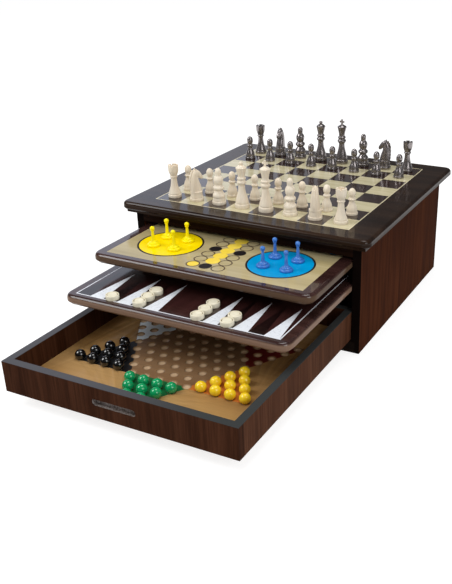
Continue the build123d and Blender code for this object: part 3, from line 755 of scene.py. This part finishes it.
# ---------------------------------------------------------------- ludo board: prints and men
PRINT = 0.08 * MM
OVERPRINT = 1.2 * PRINT
MEN_LEVEL = LUDO_TOP + 1.3 * PRINT
HOME = 4.5  # cells from the board's middle to the middle of a home disc, both ways
DISC_RADIUS, DISC_EDGE, DISC_RIM = 35 * MM, 0.8 * MM, 2.0 * MM
DISC_SIDES, CELL_SIDES, BAND_SIDES = 96, 48, 32
MEN_SPREAD = 12.8 * MM
PAWN_RADIUS, PAWN_HEIGHT = 6.8 * MM, 21.5 * MM


def ludo_print(name, build, material):
    piece(name, build, material, "ludo_tray", shade=None)


def on_board(x, y):
    """A place on the ludo board, given in cells from its middle."""
    return (LUDO_X + x * CELL, LUDO_Y + y * CELL)


def quarter_turned(x, y, turns):
    """A cell after so many quarter turns of the board."""
    for _ in range(turns):
        x, y = -y, x
    return (x, y)


def home_disc(bm, column, row):
    outline = circle(*on_board(column * HOME, row * HOME), DISC_RADIUS - DISC_EDGE, DISC_SIDES)
    prism(bm, outline, LUDO_TOP, LUDO_TOP + PRINT)


for name, column, row, material in (("yellow_disc", -1, -1, yellow_print), ("blue_disc", 1, -1, blue_print),
                                    ("green_disc", -1, 1, green_paint), ("red_disc", 1, 1, red_paint)):
    ludo_print(name, lambda bm, column=column, row=row: home_disc(bm, column, row), material)


def disc_rims(bm):
    for x in (-HOME, HOME):
        for y in (-HOME, HOME):
            ring(bm, *on_board(x, y), DISC_RADIUS, DISC_RADIUS - DISC_RIM, LUDO_TOP, LUDO_TOP + OVERPRINT,
                 DISC_SIDES)


ludo_print("disc_rims", disc_rims, dark_print)

LAST_ROW = 7
TRACK = [
    quarter_turned(column, row, turn)
    for column in (-1, 0, 1) for row in range(-LAST_ROW, -1) for turn in range(4)
]
DARK_CELLS = [
    quarter_turned(x, y, turn) for turn in range(4) for x, y in ((-1, -4), (1, -4), (0, -LAST_ROW))
]


def home_band(bm, turn):
    """The coloured run up the middle of one arm, a chain of discs, and the start cell beside it."""
    for column, row in [(0, -k) for k in range(2, LAST_ROW)] + [(-1, -LAST_ROW)]:
        radius = (0.52 if column == 0 else 0.4) * CELL
        level = LUDO_TOP + PRINT * (1.0 if row % 2 else 1.1)
        prism(bm, circle(*on_board(*quarter_turned(column, row, turn)), radius, BAND_SIDES), LUDO_TOP, level)


HOME_BANDS = (("yellow_home", pale_yellow_print), ("blue_home", blue_print), ("red_home", red_paint),
              ("green_home", green_paint))
for turn, (name, material) in enumerate(HOME_BANDS):
    ludo_print(name, lambda bm, turn=turn: home_band(bm, turn), material)


def track_rings(bm):
    for x, y in TRACK:
        in_band = 0 in (x, y) and max(abs(x), abs(y)) < LAST_ROW
        if (x, y) not in DARK_CELLS and not in_band:
            ring(bm, *on_board(x, y), 0.5 * CELL, 0.42 * CELL, LUDO_TOP, LUDO_TOP + OVERPRINT, CELL_SIDES)


def dark_cells(bm):
    for x, y in DARK_CELLS:
        prism(bm, circle(*on_board(x, y), 0.46 * CELL, CELL_SIDES), LUDO_TOP, LUDO_TOP + OVERPRINT)


ludo_print("track_rings", track_rings, ring_print)
ludo_print("dark_cells", dark_cells, dark_print)

LUDO_LINE = scaled(curve(
    [(0.0, 0.0), (0.94, 0.0), (0.94, 0.0), (1.0, 0.03), (1.0, 0.08), (0.9, 0.12), (0.72, 0.14), (0.7, 0.18),
     (0.42, 0.23), (0.28, 0.32), (0.24, 0.5), (0.2, 0.7), (0.2, 0.76), (0.3, 0.775), (0.3, 0.79),
     (0.2, 0.805)]),
    PAWN_RADIUS, PAWN_HEIGHT)
LUDO_LINE += ball(0.37 * PAWN_RADIUS, 0.785 * PAWN_HEIGHT, PAWN_HEIGHT, 0.18 * PAWN_RADIUS)


def ludo_men(bm, side):
    x, y = on_board(side * HOME, -HOME)
    for u in (-MEN_SPREAD, MEN_SPREAD):
        for v in (-MEN_SPREAD, MEN_SPREAD):
            lathe(bm, (x + u, y + v, MEN_LEVEL), LUDO_LINE, 32)


for colour, side, material in (("yellow", -1, yellow_plastic), ("blue", 1, blue_plastic)):
    piece(f"{colour}_men", lambda bm, side=side: ludo_men(bm, side), material,
          f"{colour}_ludo_men", (f"{colour}_pawns",))


# ---------------------------------------------------------------- checkers
def islands(node):
    """Centres (x, y) of the separate solids of a CAD node, from its mesh."""
    bm = bmesh.new()
    bm.from_mesh(nodes[node].data)
    bmesh.ops.remove_doubles(bm, verts=bm.verts, dist=1e-6)
    left, found = set(bm.verts), []
    while left:
        stack, group = [left.pop()], []
        while stack:
            v = stack.pop()
            group.append(v)
            for e in v.link_edges:
                o = e.other_vert(v)
                if o in left:
                    left.discard(o)
                    stack.append(o)
        xs, ys = [v.co.x for v in group], [v.co.y for v in group]
        found.append((middle(min(xs), max(xs)), middle(min(ys), max(ys))))
    bm.free()
    return sorted(found)


CHECKER_RADIUS, CHECKER_HEIGHT = 6.7 * MM, 5.0 * MM
CHECKER_LINE = scaled(curve(
    [(0.0, 0.0), (0.86, 0.0), (0.96, 0.04), (1.0, 0.2), (1.0, 0.8), (0.97, 0.94), (0.92, 1.0),
     (0.84, 0.98), (0.8, 0.74), (0.74, 0.72), (0.68, 0.94), (0.6, 0.96), (0.3, 0.92), (0.0, 0.92)], 4),
    CHECKER_RADIUS, CHECKER_HEIGHT)


def checkers(bm):
    for x, y in islands("ivory_checkers"):
        lathe(bm, (x, y, GAMMON_TOP), CHECKER_LINE)


def checker_grooves(bm):
    outer, inner = 0.81 * CHECKER_RADIUS, 0.71 * CHECKER_RADIUS
    low, high = GAMMON_TOP + 0.72 * CHECKER_HEIGHT, GAMMON_TOP + 0.8 * CHECKER_HEIGHT
    for x, y in islands("ivory_checkers"):
        ring(bm, x, y, outer, inner, low, high, 40)


piece("checker_men", checkers, ivory_plastic, "checkers", ("ivory_checkers",))
piece("checker_groove_shade", checker_grooves, groove_shade, "checkers", shade=None)


# ---------------------------------------------------------------- marbles and the star board
MARBLE = 5.5 * MM
DIMPLE, DIMPLE_DEPTH = 4.6 * MM, 1.5 * MM
CAP_STEPS, CAP_SIDES = 4, 24
CUT_ABOVE = 1.0 * MM


def marbles(bm, node):
    for x, y in islands(node):
        place = Matrix.Translation((x, y, DRAWER_FLOOR - DIMPLE_DEPTH + MARBLE))
        bmesh.ops.create_uvsphere(bm, u_segments=32, v_segments=20, radius=MARBLE, matrix=place)


for colour, material in (("green", green_glass), ("yellow", yellow_glass), ("black", black_glass)):
    piece(f"{colour}_marble_set", lambda bm, c=colour: marbles(bm, f"{c}_marbles"), material,
          f"{colour}_balls", (f"{colour}_marbles",), 80)


def sixth_turned(x, y, turns):
    """A place on the star board after so many sixth turns about the star's middle."""
    c, s = math.cos(math.radians(60 * turns)), math.sin(math.radians(60 * turns))
    return (x * c - y * s, STAR_Y + x * s + y * c)


def hole_row(count, row, turns=0):
    """Centres of a row of dimples that is centred on the star's middle line."""
    across = [(place - (count - 1) / 2) * HOLE_PITCH for place in range(count)]
    return [sixth_turned(x, row * ROW_PITCH, turns) for x in across]


def star_holes():
    """Centres of the 121 dimples: a hexagon of 61 and six tips of ten."""
    found = []
    for row in range(-TIP_ROWS, TIP_ROWS + 1):
        found += hole_row(2 * TIP_ROWS + 1 - abs(row), row)
    for tip in range(6):
        for row in range(TIP_ROWS):
            found += hole_row(TIP_ROWS - row, -(TIP_ROWS + 1 + row), tip)
    return found


def cutter_object():
    """One mesh of 121 shallow ball caps that scoop the dimples out."""
    ball_radius = (DIMPLE ** 2 + DIMPLE_DEPTH ** 2) / (2 * DIMPLE_DEPTH)
    limit = math.asin(DIMPLE / ball_radius)
    angles = [limit * k / CAP_STEPS for k in range(1, CAP_STEPS + 1)]
    profile = [(0.0, -DIMPLE_DEPTH)]
    profile += [(ball_radius * math.sin(a), ball_radius * (1 - math.cos(a)) - DIMPLE_DEPTH) for a in angles]
    profile += [(DIMPLE, CUT_ABOVE), (0.0, CUT_ABOVE)]
    mesh = bpy.data.meshes.new("dimple_cutter")
    bm = bmesh.new()
    for x, y in star_holes():
        lathe(bm, (x, y, DRAWER_FLOOR), profile, CAP_SIDES)
    bmesh.ops.recalc_face_normals(bm, faces=bm.faces)
    bm.to_mesh(mesh)
    bm.free()
    obj = bpy.data.objects.new("dimple_cutter", mesh)
    bpy.context.scene.collection.objects.link(obj)
    return obj


cutter = cutter_object()


def scoop(obj):
    """Cuts the dimples out of a piece and applies the cut."""
    modifier = obj.modifiers.new("dimples", "BOOLEAN")
    modifier.operation = "DIFFERENCE"
    modifier.solver = "EXACT"
    modifier.object = cutter
    depsgraph = bpy.context.evaluated_depsgraph_get()
    depsgraph.update()
    mesh = bpy.data.meshes.new_from_object(obj.evaluated_get(depsgraph))
    obj.modifiers.clear()
    obj.data = mesh


def star_floor(bm):
    low, high = floor_low, floor_high
    prism(bm, [(low.x, low.y), (high.x, low.y), (high.x, high.y), (low.x, high.y)], low.z, high.z)


floor_piece = piece(
    "star_floor", star_floor, golden_floor, "drawer", ("drawer_floor",), None)
scoop(floor_piece)
smooth(floor_piece, 40)

# Distances from the star's middle to the foot and to the point of a painted tip
TIP_FOOT, TIP_POINT = 4.08 * ROW_PITCH, 8.45 * ROW_PITCH


def tip_outline(tip):
    """Triangle of one star tip in the floor's plane."""
    half = (TIP_POINT - TIP_FOOT) / math.sqrt(3)
    return [sixth_turned(x, y, tip) for x, y in ((-half, -TIP_FOOT), (0, -TIP_POINT), (half, -TIP_FOOT))]


def hexagon_outline():
    return [sixth_turned(TIP_FOOT / math.cos(math.pi / 6), 0, k) for k in range(6)]


def star_print(name, outline, material):
    def build(bm):
        prism(bm, outline, DRAWER_FLOOR, DRAWER_FLOOR + PRINT)
    scoop(piece(name, build, material, "drawer", shade=None))


TIP_PAINT = (("front", green_paint), ("front_right", orange_paint), ("back_right", red_paint),
             ("back", white_paint), ("back_left", grey_paint), ("front_left", black_paint))
for tip, (name, material) in enumerate(TIP_PAINT):
    star_print(f"star_tip_{name}", tip_outline(tip), material)
star_print("star_middle", hexagon_outline(), star_wood)
bpy.data.objects.remove(cutter)


# ---------------------------------------------------------------- stage, lights and camera
STAGE_HALF = 6.0
STAGE_PALE = (0.8, 0.8, 0.8, 1)
STAGE_SEEN = (0.38, 0.38, 0.38, 1)
STAGE_GLOW = 0.8
WORLD_LIGHT = 0.5
# What the lacquer reflects: a dim sky with one bright, bluish patch round BRIGHT_SIDE
BRIGHT_SIDE = Vector((-0.70, 0.66, 0.27)).normalized()
PATCH_EDGE, PATCH_CORE = 0.9, 0.985
DIM_SKY, BRIGHT_SKY = 0.1, 1.0
SKY_TINT = (0.78, 0.84, 1.0, 1)


def stage_material():
    """Plain and pale to the light, but partly glowing to the eye, so that only the shadow shows on it."""
    material = bpy.data.materials.new("stage_pale")
    material.use_nodes = True
    material.node_tree.nodes.clear()
    graph = Graph(material.node_tree)
    plain = graph.node("ShaderNodeBsdfDiffuse")
    plain.inputs["Color"].default_value = STAGE_PALE
    seen = graph.node("ShaderNodeBsdfDiffuse")
    seen.inputs["Color"].default_value = STAGE_SEEN
    glow = graph.node("ShaderNodeEmission")
    glow.inputs["Strength"].default_value = STAGE_GLOW
    both = graph.node("ShaderNodeAddShader")
    graph.link(seen.outputs[0], both.inputs[0])
    graph.link(glow.outputs[0], both.inputs[1])
    path = graph.node("ShaderNodeLightPath").outputs
    directly = graph.larger(path["Is Camera Ray"], path["Is Glossy Ray"])
    looked_at = graph.larger(directly, path["Is Transmission Ray"])
    mixed = graph.node("ShaderNodeMixShader")
    graph.link(looked_at, mixed.inputs[0])
    graph.link(plain.outputs[0], mixed.inputs[1])
    graph.link(both.outputs[0], mixed.inputs[2])
    graph.link(mixed.outputs[0], graph.node("ShaderNodeOutputMaterial").inputs[0])
    return material


def make_stage():
    """The floor under the box, which is left out of the part."""
    mesh = bpy.data.meshes.new("stage_floor")
    corners = [(x * STAGE_HALF, y * STAGE_HALF, 0) for x, y in ((-1, -1), (1, -1), (1, 1), (-1, 1))]
    mesh.from_pydata(corners, [], [(0, 1, 2, 3)])
    ground = bpy.data.objects.new("stage_floor", mesh)
    bpy.context.scene.collection.objects.link(ground)
    mesh.materials.append(stage_material())


def make_world():
    """White to the camera, an even light on the object, and the dim sky with its patch in reflections."""
    world = bpy.data.worlds.new("studio")
    bpy.context.scene.world = world
    world.use_nodes = True
    graph = Graph(world.node_tree)
    path = graph.node("ShaderNodeLightPath").outputs
    towards = graph.node("ShaderNodeVectorMath", operation="DOT_PRODUCT")
    towards.inputs[1].default_value = BRIGHT_SIDE
    graph.link(graph.node("ShaderNodeTexCoord").outputs["Generated"], towards.inputs[0])
    sky = graph.spread(towards.outputs["Value"], PATCH_EDGE, PATCH_CORE, DIM_SKY, BRIGHT_SKY)
    lit = graph.mix_numbers(path["Is Glossy Ray"], WORLD_LIGHT, sky)
    looked_at = graph.larger(path["Is Camera Ray"], path["Is Transmission Ray"])
    background = graph.tree.nodes["Background"]
    graph.link(graph.mix_numbers(looked_at, lit, 1.0), background.inputs["Strength"])
    tint = graph.mix(graph.product(path["Is Glossy Ray"], sky), WHITE, SKY_TINT)
    graph.link(tint, background.inputs["Color"])


LAMP_SIZE = 0.9
LAMP_AIM = Vector((0, -0.1, 0.08))


def softbox(name, place, watts):
    lamp = bpy.data.lights.new(name, "AREA")
    lamp.shape = "RECTANGLE"
    lamp.size = LAMP_SIZE
    lamp.size_y = LAMP_SIZE
    lamp.energy = watts
    obj = bpy.data.objects.new(name, lamp)
    bpy.context.scene.collection.objects.link(obj)
    obj.location = place
    obj.rotation_euler = (LAMP_AIM - Vector(place)).to_track_quat("-Z", "Y").to_euler()


make_stage()
make_world()
softbox("key_left", (-1.2, -0.9, 1.4), 16)
softbox("fill_right", (1.5, -0.9, 1.1), 9)
softbox("top_light", (0.1, 0.1, 1.9), 11)

# Camera fitted to the photograph: angles in degrees, lengths in metres, places in its pixels
IMAGE_WIDTH, IMAGE_HEIGHT = 452, 584
AZIMUTH, ELEVATION, ROLL = 26.384, 25.020, -0.467
DISTANCE, FOCAL_PIXELS = 1.02077, 820.44
OPTICAL_X, OPTICAL_Y = 297.18, 293.54
TARGET = Vector((-0.0004, 0.00184, -0.01206))
SENSOR = 36.0


def make_camera():
    azimuth, elevation, roll = math.radians(AZIMUTH), math.radians(ELEVATION), math.radians(ROLL)
    level = math.cos(elevation)
    back = Vector((math.sin(azimuth) * level, -math.cos(azimuth) * level, math.sin(elevation)))
    right = Vector((math.cos(azimuth), math.sin(azimuth), 0))
    up = back.cross(right)
    right_rolled = math.cos(roll) * right + math.sin(roll) * up
    up_rolled = -math.sin(roll) * right + math.cos(roll) * up
    data = bpy.data.cameras.new("camera")
    data.sensor_width = SENSOR
    data.lens = FOCAL_PIXELS * SENSOR / IMAGE_HEIGHT
    data.shift_x = -(OPTICAL_X - IMAGE_WIDTH / 2) / IMAGE_HEIGHT
    data.shift_y = (OPTICAL_Y - IMAGE_HEIGHT / 2) / IMAGE_HEIGHT
    camera = bpy.data.objects.new("camera", data)
    bpy.context.scene.collection.objects.link(camera)
    turn = Matrix((right_rolled, up_rolled, back)).transposed().to_4x4()
    camera.matrix_world = Matrix.Translation(TARGET + back * DISTANCE) @ turn
    bpy.context.scene.camera = camera


make_camera()
bpy.context.scene.view_settings.view_transform = "Standard"
